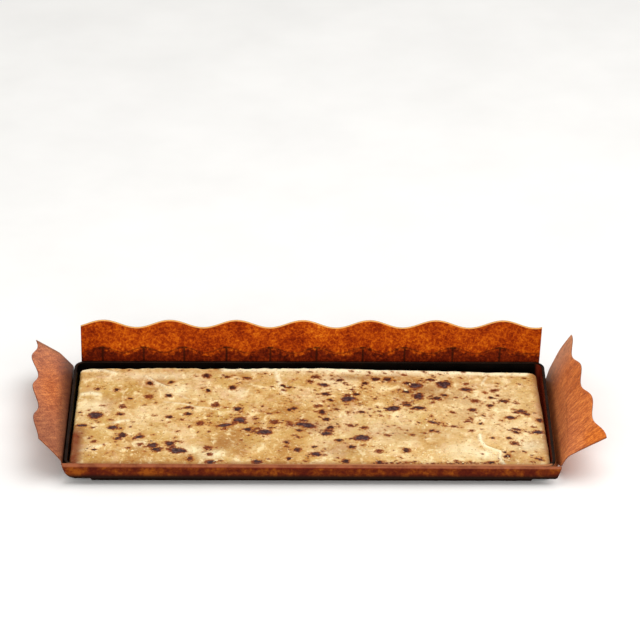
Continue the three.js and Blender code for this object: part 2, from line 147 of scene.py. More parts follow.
# Marks in the paste: lines of (x, y), then how high, how wide and how pale; the paleness is partly paler
# paste, partly a painted highlight along each ridge
RIDGES = [
    ([(82, -19), (82, -25), (84, -30), (88, -33), (91, -35), (90, -41), (92, -47)], 0.8, 1.0, 1.2),
    ([(86, 33), (90, 44)], 0.25, 0.8, 0.6),
    ([(-81, 38), (-75, 30), (-70, 27)], 0.4, 1.1, 0.8),
    ([(-71, 12), (-61, 10), (-56, 7), (-45, 5)], 0.22, 0.8, 0.6),
    ([(-110, -35), (-102, -31), (-97, -28)], 0.25, 0.9, 0.5),
    ([(-17, 46), (-15, 32), (-13, 21)], 0.3, 1.2, 0.8),
    ([(-42, 45), (108, 45)], 0.2, 2.1, 1.3),
    ([(-113, 44), (-103, 44), (-97, 41)], 0.25, 1.5, 0.9),
    ([(-111, 20), (-107, 21), (-104, 19)], 0.3, 1.8, 0.9),
    ([(-95, -9), (-92, -7), (-88, -6)], 0.2, 1.2, 0.7),
    ([(-76, 32), (-68, 22), (-60, 15)], 0.2, 1.0, 0.45),
]
# Places with a tone of their own: x, y, across, deep, how much. The pale ones are partly a painted
# highlight, as along the back edge and beside the ridge at the front right
PALE_PATCHES = [
    (84, -37, 7, 6, 0.9), (73, -34, 13, 9, 0.5), (104, -28, 11, 10, 0.6), (85, 10, 30, 30, 0.25),
    (12, 33, 8, 6, 0.5), (-67, 23, 8, 7, 0.5), (-47, -38, 7, 5, 0.8), (-58, -34, 11, 5, 0.6),
    (-81, -28, 4, 4, 0.6), (-34, 21, 5, 5, 0.5), (-104, 8, 9, 8, 0.5), (-75, 38, 26, 4, 0.5),
    (30, 43, 60, 3, 0.7), (20, 0, 14, 9, 0.25),
]
YELLOW_PATCHES = [
    (-46, 36, 5, 5, 1.0), (-95, 24, 16, 10, 0.7), (-52, -36, 14, 6, 0.6), (-12, 32, 14, 10, 0.5),
    (-100, -15, 10, 14, 0.5), (66, -34, 12, 7, 0.4), (105, 20, 6, 24, 0.4),
]
# The brown ones are partly painted shade, as beside that ridge and along the left edge
BROWN_PATCHES = [
    (-38, -28, 14, 7, 0.3), (22, 37, 14, 3, 0.5), (58, 26, 14, 7, 0.45), (0, -12, 12, 8, 0.4),
    (45, -18, 28, 10, 0.3), (-114, -32, 7, 20, 0.8), (95, -43, 5, 4, 0.4), (107, -44, 9, 3, 0.3),
    (16, -34, 14, 9, 0.4),
]
# Pale crumbs: x, y and reach of each group, how many for a millimetre of reach, and how many lone
CRUMB_PLACES = [
    (42, -39, 9), (51, -36, 7), (58, -39, 8), (70, -44, 9),
    (89, -39, 8), (34, -30, 6), (-16, 40, 5), (-15, 24, 7),
    (-43, -43, 7), (-87, -35, 5), (-68, 25, 6), (20, 22, 14),
    (111, -22, 6),
]
CRUMBS_PER_REACH = 1.4
LONE_CRUMBS = 40

# The slab's face: the steps of its grid, and how far its torn back edge is drawn in
FACE_STEPS = (0.62, 0.66)
RAGGED_BACK = 2.0

# The photograph's view, in degrees and metres
VIEW_ELEVATION = 28.5
VIEW_AZIMUTH = -0.43
VIEW_ROLL = 0.32
VIEW_DISTANCE = 1.69806
VIEW_TARGET = (0.00477, 0, 0.06042)
VIEW_LENS = 199
FLOOR_DROP = 0.0002


# Small helpers

def srgb(red, green, blue):
    """A colour as read off a screen, 0 to 255, as the renderer's linear colour."""
    def linear(value):
        part = value / 255
        return part / 12.92 if part <= 0.04045 else ((part + 0.055) / 1.055) ** 2.4
    return (linear(red), linear(green), linear(blue), 1)


def ramp(value, start, end):
    """0 before start, 1 after end, smooth between them."""
    t = np.clip((np.asarray(value, float) - start) / (end - start), 0, 1)
    return t * t * (3 - 2 * t)


def mix(a, b, t):
    return a + (b - a) * t


def wander(x, y, size, seed):
    """Smooth noise of about -1 to 1 at each place, with features of the given size."""
    scale = 1 / size
    places = zip(np.ravel(x), np.ravel(y))
    found = [noise.noise(Vector((px * scale, py * scale, seed))) for px, py in places]
    return np.reshape(found, np.shape(x))


def turned(along, over, degrees):
    """The x and y of a place that is given along and over something turned by an angle."""
    c, s = math.cos(math.radians(degrees)), math.sin(math.radians(degrees))
    return along * c - over * s, along * s + over * c


def grid_faces(rows, columns):
    """The faces of a grid of points, and the points of its rim in turn."""
    index = np.arange(rows * columns).reshape(rows, columns)
    quads = np.stack([index[:-1, :-1], index[:-1, 1:], index[1:, 1:], index[1:, :-1]], axis=-1)
    rim = np.concatenate([index[0, :-1], index[:-1, -1], index[-1, :0:-1], index[:0:-1, 0]])
    return quads.reshape(-1, 4), rim


def make_mesh(name, points, faces, materials, smooth=True):
    """An object from points in millimetres."""
    mesh = bpy.data.meshes.new(name)
    mesh.from_pydata((np.asarray(points, float) * MM).tolist(), [], faces)
    mesh.validate()
    mesh.polygons.foreach_set("use_smooth", [smooth] * len(mesh.polygons))
    for material in materials:
        mesh.materials.append(material)
    piece = bpy.data.objects.new(name, mesh)
    bpy.context.scene.collection.objects.link(piece)
    return piece


def set_values(piece, name, values):
    """Keeps one number for each vertex, for the piece's material to read."""
    layer = piece.data.attributes.new(name, "FLOAT", "POINT")
    layer.data.foreach_set("value", np.asarray(values, np.float32).ravel())


def seeded_draws(seed):
    """The repeatable numbers that place the smaller flecks in the part's source."""
    state = seed
    while True:
        state = state * 16807 % 2147483647
        yield state / 2147483647


# Materials

class Shader:
    """A material's node tree, built with short calls. Sizes are in millimetres."""

    def __init__(self, name):
        self.material = bpy.data.materials.new(name)
        self.material.use_nodes = True
        self.tree = self.material.node_tree
        self.body = self.tree.nodes["Principled BSDF"]
        self.place = self.node("ShaderNodeTexCoord").outputs["Object"]

    def node(self, kind, **settings):
        made = self.tree.nodes.new(kind)
        for key, value in settings.items():
            setattr(made, key, value)
        return made

    def put(self, socket, value):
        if isinstance(value, bpy.types.NodeSocket):
            self.tree.links.new(value, socket)
        elif value is not None:
            socket.default_value = value

    def value(self, name):
        return self.node("ShaderNodeAttribute", attribute_name=name).outputs["Fac"]

    def streak_place(self):
        """Place on a side flap: across the streaks, then along them."""
        joined = self.node("ShaderNodeCombineXYZ")
        self.put(joined.inputs[0], self.math("MULTIPLY", self.value("across"), MM))
        self.put(joined.inputs[1], self.math("MULTIPLY", self.value("along"), MM))
        return joined.outputs[0]

    def math(self, operation, *values):
        made = self.node("ShaderNodeMath", operation=operation)
        for socket, value in zip(made.inputs, values):
            self.put(socket, value)
        return made.outputs[0]

    def total(self, start, *terms):
        """A start, plus each value times its weight."""
        for value, weight in terms:
            start = self.math("MULTIPLY_ADD", value, weight, start)
        return start

    def spread(self, value, start, end, to_start=0.0, to_end=1.0):
        made = self.node("ShaderNodeMapRange", interpolation_type="SMOOTHSTEP")
        for socket, given in zip(made.inputs, (value, start, end, to_start, to_end)):
            self.put(socket, given)
        return made.outputs[0]

    def noise(self, size, detail=3.0, roughness=0.55, distortion=0.0, where=None, stretch=None):
        where = self.place if where is None else where
        if stretch:
            scaled = self.node("ShaderNodeMapping")
            self.put(scaled.inputs["Vector"], where)
            scaled.inputs["Scale"].default_value = stretch
            where = scaled.outputs[0]
        made = self.node("ShaderNodeTexNoise")
        self.put(made.inputs["Vector"], where)
        self.put(made.inputs["Scale"], 1 / (size * MM))
        self.put(made.inputs["Detail"], detail)
        self.put(made.inputs["Roughness"], roughness)
        self.put(made.inputs["Distortion"], distortion)
        return made.outputs["Fac"]

    def cells(self, size):
        made = self.node("ShaderNodeTexVoronoi")
        self.put(made.inputs["Vector"], self.place)
        self.put(made.inputs["Scale"], 1 / (size * MM))
        return made.outputs["Distance"]

    def colours(self, value, stops):
        """Colours along a value. A stop is a place, then red, green and blue."""
        made = self.node("ShaderNodeValToRGB")
        self.put(made.inputs[0], value)
        elements = made.color_ramp.elements
        while len(elements) < len(stops):
            elements.new(0.5)
        for element, (at, *colour) in zip(elements, stops):
            element.position = at
            element.color = srgb(*colour)
        return made.outputs["Color"]

    def mix(self, factor, a, b):
        made = self.node("ShaderNodeMix", data_type="RGBA")
        self.put(made.inputs[0], factor)
        self.put(made.inputs[6], a)
        self.put(made.inputs[7], b)
        return made.outputs[2]

    def bump(self, height, depth, before=None):
        made = self.node("ShaderNodeBump")
        self.put(made.inputs["Height"], height)
        made.inputs["Distance"].default_value = depth * MM
        made.inputs["Strength"].default_value = 1
        self.put(made.inputs["Normal"], before)
        return made.outputs[0]

    def finish(self, colour, roughness, normal=None, specular=0.4):
        self.put(self.body.inputs["Base Color"], colour)
        self.put(self.body.inputs["Roughness"], roughness)
        self.put(self.body.inputs["Normal"], normal)
        self.body.inputs["Specular IOR Level"].default_value = specular
        return self.material


def paste_material():
    """Almond paste: tan, with olive, pinkish, brown and creamy places, smears and fine specks. The brown
    is partly painted shade along the edges, the creamy places partly a painted highlight.
    """
    s = Shader("nougat_paste")
    broad = s.noise(30, detail=2)
    middle = s.noise(10, detail=3, distortion=0.8)
    smear = s.noise(4.5, detail=4, roughness=0.6, distortion=0.4, stretch=(0.9, 0.6, 1))
    fine = s.noise(1.7, detail=3)
    grain = s.noise(0.75, detail=2)
    tone = s.total(-0.475, (broad, 1), (middle, 0.6), (smear, 0.35))
    colour = s.colours(tone, [
        (0.3, 182, 130, 64),
        (0.42, 201, 154, 86),
        (0.53, 214, 171, 104),
        (0.66, 228, 194, 138),
    ])
    olive = s.spread(s.noise(16, detail=3, distortion=0.5), 0.5, 0.66, 0, 0.35)
    colour = s.mix(s.math("MAXIMUM", olive, s.value("yellow")), colour, srgb(198, 160, 76))
    pink = s.spread(s.noise(13, detail=2, distortion=1.0), 0.53, 0.7, 0, 0.4)
    colour = s.mix(pink, colour, srgb(222, 176, 138))
    colour = s.mix(s.spread(smear, 0.54, 0.68, 0, 0.75), colour, srgb(251, 227, 172))
    colour = s.mix(s.spread(smear, 0.45, 0.3, 0, 0.5), colour, srgb(174, 120, 52))
    # Pale places: paler paste, and a painted highlight along the back edge and the ridges
    pale = s.math("MULTIPLY", s.value("pale"), s.spread(smear, 0.3, 0.5, 0.7, 1))
    colour = s.mix(pale, colour, srgb(255, 243, 202))
    ragged = s.math("ADD", s.value("stain"), s.spread(s.noise(1.4, detail=3), 0.3, 0.7, -0.4, 0.2))
    colour = s.mix(s.spread(ragged, 0.1, 0.7, 0, 0.55), colour, srgb(188, 116, 40))
    colour = s.mix(s.spread(ragged, 0.6, 0.86, 0, 0.85), colour, srgb(122, 46, 6))
    dots = s.spread(s.cells(1.9), 0.22, 0.14)
    dots = s.math("MULTIPLY", dots, s.spread(s.noise(7, detail=2), 0.46, 0.6))
    colour = s.mix(s.math("MULTIPLY", dots, 0.8), colour, srgb(132, 74, 26))
    colour = s.mix(s.spread(fine, 0.56, 0.7, 0, 0.42), colour, srgb(255, 236, 184))
    colour = s.mix(s.spread(fine, 0.43, 0.3, 0, 0.5), colour, srgb(164, 108, 44))
    colour = s.mix(s.spread(grain, 0.58, 0.75, 0, 0.2), colour, srgb(255, 238, 192))
    # Brown places: browner paste, and painted shade along the slab's edges and lower sides
    brown_and_edge_shade = s.math("MULTIPLY", s.value("brown"), s.spread(middle, 0.3, 0.6, 0.85, 1))
    colour = s.mix(brown_and_edge_shade, colour, srgb(124, 58, 24))
    normal = s.bump(smear, 0.5)
    normal = s.bump(fine, 0.3, normal)
    normal = s.bump(grain, 0.06, normal)
    rough = s.spread(middle, 0.35, 0.65, 0.5, 0.68)
    s.body.inputs["Subsurface Weight"].default_value = 0.1
    s.body.inputs["Subsurface Radius"].default_value = (1.0, 0.5, 0.25)
    s.body.inputs["Subsurface Scale"].default_value = 0.0015
    return s.finish(colour, rough, normal, 0.18)


def spice_material(name, dark, thin, gloss, grey=None):
    """Cinnamon and nut skin: dark in the middle of a fleck, redder where it thins out.

    Large flecks turn greyer in the middle where a grey is given.
    """
    s = Shader(name)
    mottle = s.noise(1.3, detail=3)

    def mottled(tones):
        return s.colours(mottle, [(at, *tone) for at, tone in zip((0.35, 0.5, 0.65), tones)])

    colour = mottled(dark)
    if grey:
        colour = s.mix(s.value("large"), colour, mottled(grey))
    depth = s.math("ADD", s.value("depth"), s.spread(s.noise(1.8), 0.3, 0.7, -0.25, 0.25))
    colour = s.mix(s.spread(depth, 0.2, 0.62), mottled(thin), colour)
    return s.finish(colour, s.spread(mottle, 0.3, 0.7, 0.42, 0.62), s.bump(mottle, 0.15), gloss)


def crumb_material():
    """Soft pale crumbs of almond."""
    s = Shader("almond_crumb")
    tone = s.noise(1.5, detail=3)
    colour = s.colours(tone, [
        (0.35, 222, 184, 120),
        (0.5, 242, 214, 156),
        (0.65, 252, 234, 192),
    ])
    return s.finish(colour, s.spread(tone, 0.3, 0.7, 0.45, 0.6), s.bump(s.noise(0.5), 0.1), 0.4)


def tray_wall_material():
    """Thin dark plastic, painted near black as shade on its inner walls, with a painted red-brown glow
    of light on the right inner wall, towards the right end.
    """
    s = Shader("tray_plastic")
    cloud = s.noise(14, detail=3)
    # Near black: painted shade, darker than the lip's plastic
    colour = s.colours(cloud, [
        (0.35, 2, 1, 1),
        (0.65, 9, 5, 3),
    ])
    across = s.node("ShaderNodeSeparateXYZ")
    s.put(across.inputs[0], s.place)
    # A painted red-brown glow of light on the right inner wall
    red = s.spread(across.outputs[0], 112.3 * MM, 114.3 * MM)
    colour = s.mix(red, colour, srgb(104, 34, 18))
    scuffs = s.noise(3, detail=5, stretch=(0.15, 1, 1))
    rough = s.spread(scuffs, 0.35, 0.7, 0.22, 0.42)
    return s.finish(colour, rough, s.bump(s.noise(6, detail=2), 0.08), 0.04)


def tray_lip_material():
    """The rolled lip: glossy, very dark brown, lighter at the front with a painted reflection of light.
    """
    s = Shader("tray_lip")
    cloud = s.noise(9, detail=3)
    colour = s.colours(cloud, [
        (0.35, 20, 10, 5),
        (0.65, 38, 22, 13),
    ])
    # A painted reflection of light along the front lip
    colour = s.mix(s.value("front"), colour, srgb(172, 112, 72))
    scuffs = s.noise(2, detail=5, stretch=(0.2, 1, 1))
    rough = s.spread(scuffs, 0.35, 0.7, 0.2, 0.36)
    return s.finish(colour, rough, s.bump(s.noise(5, detail=2), 0.06), 0.04)


def back_paper_material():
    """The upright flap: golden veins on dark orange, with a painted golden highlight next to its cut top
    edge.

    Its foot is red-brown up to a row of arches, each with a pressed tick that hangs from its top.
    """
    s = Shader("liner_back_paper")
    broad = s.noise(12, detail=2)
    cloud = s.noise(4.5, detail=3, distortion=0.3)
    small = s.noise(1.5, detail=3, roughness=0.65)
    veins = s.math("ABSOLUTE", s.math("SUBTRACT", s.noise(2.6, detail=4, roughness=0.6), 0.5))
    vein = s.spread(veins, 0.0, 0.07, 0.09, -0.04)
    tone = s.total(-0.08, (broad, 0.4), (cloud, 0.25), (small, 0.5), (vein, 1))
    colour = s.colours(tone, [
        (0.3, 104, 22, 0),
        (0.43, 146, 46, 0),
        (0.54, 180, 72, 2),
        (0.65, 208, 100, 8),
        (0.78, 236, 146, 36),
    ])
    low = s.colours(tone, [
        (0.32, 54, 6, 0),
        (0.5, 92, 18, 0),
        (0.7, 136, 44, 4),
    ])
    distance, from_tick = s.value("distance"), s.value("from_tick")
    arch = s.spread(from_tick, 0, 11, 16.9, 13.8)
    above = s.math("SUBTRACT", distance, arch)
    ragged = s.math("ADD", above, s.spread(s.noise(3, detail=3), 0.3, 0.7, -1.6, 1.6))
    colour = s.mix(s.spread(ragged, -2.6, 1.2, 0.95, 0), colour, low)
    off_arch = s.math("ABSOLUTE", above)
    line = s.spread(off_arch, 0.15, 0.6, 0.45, 0)
    tick = s.math("MULTIPLY", s.spread(from_tick, 0.3, 0.75, 0.8, 0), s.spread(above, -0.2, 0.4, 1, 0))
    bar = s.math("MULTIPLY", s.spread(from_tick, 1.2, 2.0, 0.8, 0), s.spread(off_arch, 0.3, 0.7, 1, 0))
    dark = s.math("MAXIMUM", s.math("MAXIMUM", line, tick), bar)
    colour = s.mix(dark, colour, srgb(44, 8, 0))
    # A painted golden highlight along the face next to the cut top edge
    colour = s.mix(s.spread(s.value("from_edge"), 0.3, 0.8, 0.9, 0), colour, srgb(240, 184, 104))
    rough = s.spread(tone, 0.3, 0.7, 0.42, 0.6)
    return s.finish(colour, rough, s.bump(tone, 0.1), 0.08)


def side_paper_material():
    """The open side flaps: rosy brown, the orange paper with a painted sheen, with fine orange streaks,
    nearly black at the root with painted shade.
    """
    s = Shader("liner_side_paper")
    streak = s.noise(1.5, detail=4, roughness=0.7, where=s.streak_place(), stretch=(1, 0.12, 1))
    fibre = s.noise(0.6, detail=2, where=s.streak_place(), stretch=(1, 0.4, 1))
    cloud = s.noise(6, detail=3, distortion=0.5)
    tone = s.total(-0.45, (streak, 0.8), (fibre, 0.7), (cloud, 0.4))
    # Rosy browns: the orange paper with a painted whitish sheen
    colour = s.colours(tone, [
        (0.3, 138, 75, 54),
        (0.45, 170, 101, 73),
        (0.56, 191, 118, 83),
        (0.7, 220, 141, 94),
    ])
    warm = s.colours(tone, [
        (0.32, 166, 74, 10),
        (0.5, 210, 106, 18),
        (0.68, 238, 138, 42),
    ])
    colour = s.mix(s.value("warm"), colour, warm)
    mauve = s.colours(tone, [
        (0.32, 164, 100, 62),
        (0.68, 220, 148, 100),
    ])
    colour = s.mix(s.value("mauve"), colour, mauve)
    # Painted shade at the root
    colour = s.mix(s.value("foot"), colour, srgb(50, 19, 10))
    # Painted shade in the folds
    colour = s.mix(s.value("crease_shade"), colour, srgb(110, 44, 20))
    rough = s.spread(streak, 0.3, 0.7, 0.42, 0.56)
    return s.finish(colour, rough, s.bump(streak, 0.05), 0.12)


def front_paper_material():
    """The front flap: rosy with a painted highlight where it turns over the lip, then a painted shade
    line, and mottled dark brown that is partly painted shade.
    """
    s = Shader("liner_front_paper")
    broad = s.noise(9, detail=3, distortion=0.4)
    small = s.noise(3, detail=4)
    grain = s.noise(0.8, detail=2)
    tone = s.total(-0.575, (broad, 1), (small, 0.8), (grain, 0.35))
    # The marbled paper, painted darker than the back flap's: partly painted shade
    colour = s.colours(tone, [
        (0.3, 56, 13, 0),
        (0.44, 80, 28, 1),
        (0.56, 106, 46, 3),
        (0.72, 150, 80, 14),
    ])
    # Where the flap faces up: a painted highlight
    lit_strip = s.colours(tone, [
        (0.35, 124, 66, 39),
        (0.65, 150, 85, 54),
    ])
    colour = s.mix(s.value("facing_up"), colour, lit_strip)
    # A painted shade line where the flap turns down
    colour = s.mix(s.value("crease_shade"), colour, srgb(104, 14, 2))
    # Painted shadow along the hanging edge and on the wall behind it
    colour = s.mix(s.value("foot"), colour, srgb(26, 8, 2))
    rough = s.spread(tone, 0.3, 0.7, 0.4, 0.55)
    return s.finish(colour, rough, s.bump(tone, 0.06), 0.06)


def floor_material():
    """A pale matte table."""
    s = Shader("pale_table")
    colour = s.colours(s.noise(60, detail=3), [
        (0.3, 244, 243, 241),
        (0.7, 250, 249, 247),
    ])
    return s.finish(colour, 0.8, None, 0.1)


# The slab of nougat

def placed(x, y, on_top=1.0):
    """Where a place of the slab lies: it isn't quite square in the tray, and spreads on top."""
    backward = ramp(y, -SLAB_DEPTH / 2, SLAB_DEPTH / 2)
    askew = backward * ramp(x, BACK_RIGHT_FROM, BACK_RIGHT_TO)
    spread = FRONT_SPREAD * (1 - backward) * x * 2 / SLAB_LENGTH
    return x - NARROWED * askew + spread * on_top, y - PULLED_IN * askew


def cad_heights(step=0.8):
    """Heights of the part's own slab on an even grid, smoothed so that its flecks only swell."""
    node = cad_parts["nougat"]
    points = [v.co / MM for v in node.data.vertices]
    tree = BVHTree.FromPolygons(points, [tuple(p.vertices) for p in node.data.polygons])
    inset = SLAB_TOP_ROUND * 1.3
    xs = np.arange(-SLAB_LENGTH / 2 + inset, SLAB_LENGTH / 2 - inset, step)
    ys = np.arange(-SLAB_DEPTH / 2 + inset, SLAB_DEPTH / 2 - inset, step)
    down = Vector((0, 0, -1))
    rows = []
    for y in ys:
        places = np.column_stack(placed(xs, np.full(len(xs), y)))
        hits = [tree.ray_cast(Vector((px, py, 20)), down)[0] for px, py in places]
        rows.append([hit.z if hit else np.nan for hit in hits])
    heights = np.array(rows)
    heights[np.isnan(heights)] = np.nanmean(heights)
    reach = 4
    weights = np.exp(-0.5 * (np.arange(-reach, reach + 1) / 2.2) ** 2)
    weights /= weights.sum()
    for axis in (0, 1):
        heights = np.apply_along_axis(
            lambda row: np.convolve(np.pad(row, reach, mode="edge"), weights, mode="valid"),
            axis,
            heights,
        )
    return xs, ys, heights


HEIGHT_XS, HEIGHT_YS, HEIGHTS = cad_heights()


def from_grid(x, y):
    """The smoothed height at any place, nearest inside where the place is past the grid."""
    step = HEIGHT_XS[1] - HEIGHT_XS[0]
    fx = np.clip((x - HEIGHT_XS[0]) / step, 0, len(HEIGHT_XS) - 1.001)
    fy = np.clip((y - HEIGHT_YS[0]) / step, 0, len(HEIGHT_YS) - 1.001)
    ix, iy = fx.astype(int), fy.astype(int)
    tx, ty = fx - ix, fy - iy
    near = mix(HEIGHTS[iy, ix], HEIGHTS[iy, ix + 1], tx)
    far = mix(HEIGHTS[iy + 1, ix], HEIGHTS[iy + 1, ix + 1], tx)
    return mix(near, far, ty)


def from_outline(x, y):
    """How far a place is inside the slab's rounded outline."""
    qx = np.abs(x) - (SLAB_LENGTH / 2 - SLAB_CORNER)
    qy = np.abs(y) - (SLAB_DEPTH / 2 - SLAB_CORNER)
    outside = np.hypot(np.maximum(qx, 0), np.maximum(qy, 0))
    return SLAB_CORNER - outside - np.minimum(np.maximum(qx, qy), 0)


def to_line(x, y, line):
    """Distance of each place from a line of points."""
    nearest = np.full(np.shape(x), 1e9)
    for (ax, ay), (bx, by) in zip(line, line[1:]):
        dx, dy = bx - ax, by - ay
        t = np.clip(((x - ax) * dx + (y - ay) * dy) / (dx * dx + dy * dy), 0, 1)
        nearest = np.minimum(nearest, np.hypot(x - ax - t * dx, y - ay - t * dy))
    return nearest


def face_height(x, y):
    """Height of the finished face: the part's form, with dents, lumps and ridges of the paste.

    Places are the slab's own, before placed() moves them to where they lie.
    """
    x, y = np.asarray(x, float), np.asarray(y, float)
    edge = from_outline(x, y)
    inward = np.clip(SLAB_TOP_ROUND - edge, 0, SLAB_TOP_ROUND)
    fall = SLAB_TOP_ROUND - np.sqrt(SLAB_TOP_ROUND ** 2 - inward ** 2)
    lumps = 0.17 * wander(x, y * 1.3, 7, 2.1) + 0.1 * wander(x, y * 1.2, 2.6, 8.4)
    height = from_grid(x, y) + lumps * ramp(edge, 0, 2.5) - fall
    for line, high, wide, _pale in RIDGES:
        away = to_line(x, y, line) / wide
        height += high * (np.exp(-away ** 2) - 0.5 * np.exp(-((away - 1.9) / 1.2) ** 2))
    return height


def grid_lines(half, step):
    """Lines from -half to half, close together at the edges."""
    near_edge = [0, 0.1, 0.3, 0.6, 0.95, 1.35, 1.8, 2.3]
    count = int(round(2 * (half - 2.8) / step))
    inner = np.linspace(-half + 2.8, half - 2.8, count + 1)
    edge = np.array(near_edge)
    return np.concatenate([-half + edge, inner, (half - edge)[::-1]])


def rounded_in(x, y):
    """Moves the places at the four corners of a rectangle onto its rounded outline."""
    cx = np.abs(x) - (SLAB_LENGTH / 2 - SLAB_CORNER)
    cy = np.abs(y) - (SLAB_DEPTH / 2 - SLAB_CORNER)
    corner = (cx > 0) & (cy > 0)
    squeeze = np.ones(np.shape(x))
    squeeze[corner] = (np.maximum(cx, cy) / np.hypot(cx, cy))[corner]
    new_x = np.where(corner, np.sign(x) * (SLAB_LENGTH / 2 - SLAB_CORNER + cx * squeeze), x)
    new_y = np.where(corner, np.sign(y) * (SLAB_DEPTH / 2 - SLAB_CORNER + cy * squeeze), y)
    return new_x, new_y


def patches(x, y, places):
    total = np.zeros(np.shape(x))
    for px, py, across, deep, amount in places:
        away = ((x - px) / across) ** 2 + ((y - py) / deep) ** 2
        total = np.maximum(total, amount * np.exp(-away * 1.4))
    return total


def fleck_halo(x, y, flecks):
    """Stain round the flecks, which soaks into the paste."""
    total = np.zeros(np.shape(x))
    for fx, fy, length, width, turn in flecks:
        reach = length + 3
        near = (np.abs(x - fx) < reach) & (np.abs(y - fy) < reach)
        along, over = turned(x[near] - fx, y[near] - fy, -turn)
        away = np.hypot(along / (length / 2 + 1.1), over / (width / 2 + 0.9))
        strength = min(1, 0.45 + length / 7)
        total[near] = np.maximum(total[near], strength * (1 - ramp(away, 0.62, 1.25)))
    return total


def build_slab(flecks):
    xs = grid_lines(SLAB_LENGTH / 2, FACE_STEPS[0])
    ys = grid_lines(SLAB_DEPTH / 2, FACE_STEPS[1])
    x, y = rounded_in(*np.meshgrid(xs, ys))
    edge = from_outline(x, y)
    dent = 0.3 * np.abs(wander(x, y, 13, 5.5)) + 0.14 * np.abs(wander(x, y, 4, 9.5))
    back_left = ramp(y, 43, 46) * (1 - ramp(x, -30, 20) * 0.7)
    z = face_height(x, y)
    pull = 1 - dent * (1 - ramp(edge, 0, 3)) / np.maximum(np.hypot(x, y), 1)
    x, y = x * pull, y * pull
    torn = np.abs(wander(x, np.zeros(x.shape), 5, 14.5))
    y -= RAGGED_BACK * back_left * torn * (1 - ramp(edge, 0, 3))
    points = np.stack([x, y, z], axis=-1).reshape(-1, 3)
    quads, rim = grid_faces(*x.shape)
    faces = quads.tolist()
    ring = points[rim]
    above = rim
    for level, inset in ((SLAB_UNDERSIDE + SLAB_FOOT_BEVEL, 0), (SLAB_UNDERSIDE, SLAB_FOOT_BEVEL)):
        lower = ring.copy()
        lower[:, :2] *= 1 - inset / np.maximum(np.hypot(ring[:, 0], ring[:, 1]), 1)[:, None]
        lower[:, 2] = level
        below = np.arange(len(points), len(points) + len(ring))
        points = np.concatenate([points, lower])
        after_above, after_below = np.roll(above, -1), np.roll(below, -1)
        faces += np.stack([above, below, after_below, after_above], axis=-1).tolist()
        above = below
    faces.append(above[::-1].tolist())
    px, py = points[:, 0].copy(), points[:, 1].copy()
    on_top = np.arange(len(points)) < x.size
    points[:, 0], points[:, 1] = placed(px, py, on_top)
    piece = make_mesh("nougat_slab", points, faces, [paste_material()])
    # Paler paste, and a painted highlight along the back edge and the ridges
    pale = patches(px, py, PALE_PATCHES)
    for line, _high, wide, bright in RIDGES:
        pale = np.maximum(pale, bright * np.exp(-(to_line(px, py, line) / wide) ** 2))
    # Painted shade: brown along the front edge, the front-left and right edges and the lower sides
    front = (1 - ramp(py, -46.5, -43)) * 0.45
    left = (1 - ramp(px, -112, -105.5)) * (1 - ramp(py, -20, -6))
    right = ramp(px, 110.5, 113.5) * 0.65
    sides = np.maximum(left, right)
    low = (points[:, 2] < SLAB_UNDERSIDE + 3.5) * 0.7
    brown = np.maximum.reduce([patches(px, py, BROWN_PATCHES), front, sides, low])
    set_values(piece, "stain", fleck_halo(px, py, flecks))
    set_values(piece, "pale", np.clip(pale, 0, 1) * 0.95)
    set_values(piece, "yellow", patches(px, py, YELLOW_PATCHES) * 0.7)
    set_values(piece, "brown", brown)
    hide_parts("nougat")
    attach(piece, "root")


# Flecks and crumbs

def raised_flecks():
    """The flecks of the part's source: the listed ones, and the smaller ones from the same draws."""
    draws = seeded_draws(RAISED_SEED)
    flecks = list(RAISED_FLECKS)
    margin = 7
    while len(flecks) < len(RAISED_FLECKS) + RAISED_SMALLER:
        x = (next(draws) - 0.5) * (SLAB_LENGTH - 2 * margin)
        y = (next(draws) - 0.5) * (SLAB_DEPTH - 2 * margin)
        wanted = 0.35 + 0.65 * math.exp(-(((x - 25) / 70) ** 2)) * float(ramp(y, -45, 20))
        length = mix(2.5, 4, next(draws))
        width = length * mix(0.5, 0.9, next(draws))
        turn = mix(-40, 40, next(draws))
        crowded = any(math.hypot(f[0] - x, f[1] - y) < margin for f in flecks)
        if next(draws) < wanted and not crowded:
            flecks.append((x, y, length, width, turn))
    return flecks


def fleck_density(x, y):
    """How many small flecks lie at a place: most in the middle and at the back right."""
    back_right = math.exp(-(((x - 35) / 55) ** 2) - ((y - 25) / 30) ** 2)
    middle = math.exp(-(((x + 10) / 45) ** 2) - ((y + 2) / 20) ** 2)
    left = math.exp(-(((x + 80) / 30) ** 2) - ((y + 15) / 25) ** 2)
    bare = math.exp(-(((x - 75) / 28) ** 2) - ((y + 28) / 16) ** 2)
    return max(0.16 + 0.9 * back_right + 0.6 * middle + 0.3 * left - 0.3 * bare, 0.03)


def scattered(count, shortest, longest, draw):
    """Seeded flecks that follow the density, most of them near the shortest length.

    They lean one way at the left of the slab and the other way at its right.
    """
    found = []
    while len(found) < count:
        x = draw.uniform(-0.5, 0.5) * (SLAB_LENGTH - 3)
        y = draw.uniform(-0.5, 0.5) * (SLAB_DEPTH - 3)
        if draw.random() > fleck_density(x, y):
            continue
        length = mix(shortest, longest, draw.random() ** 2)
        turn = draw.normal(mix(25, -30, float(ramp(x, -70, 50))), 20)
        found.append((x, y, length, length * draw.uniform(0.35, 0.8), turn))
    return found


def flake_outline(angles, draw):
    """The radius of an uneven, slightly angular outline at each angle."""
    outline = np.ones(len(angles))
    for waves, size in ((2, 0.14), (3, 0.15), (5, 0.12), (8, 0.08)):
        outline += size * draw.uniform(0.3, 1.0) * np.sin(angles * waves + draw.uniform(0, 6.3))
    return outline + draw.normal(0, 0.03, len(angles))


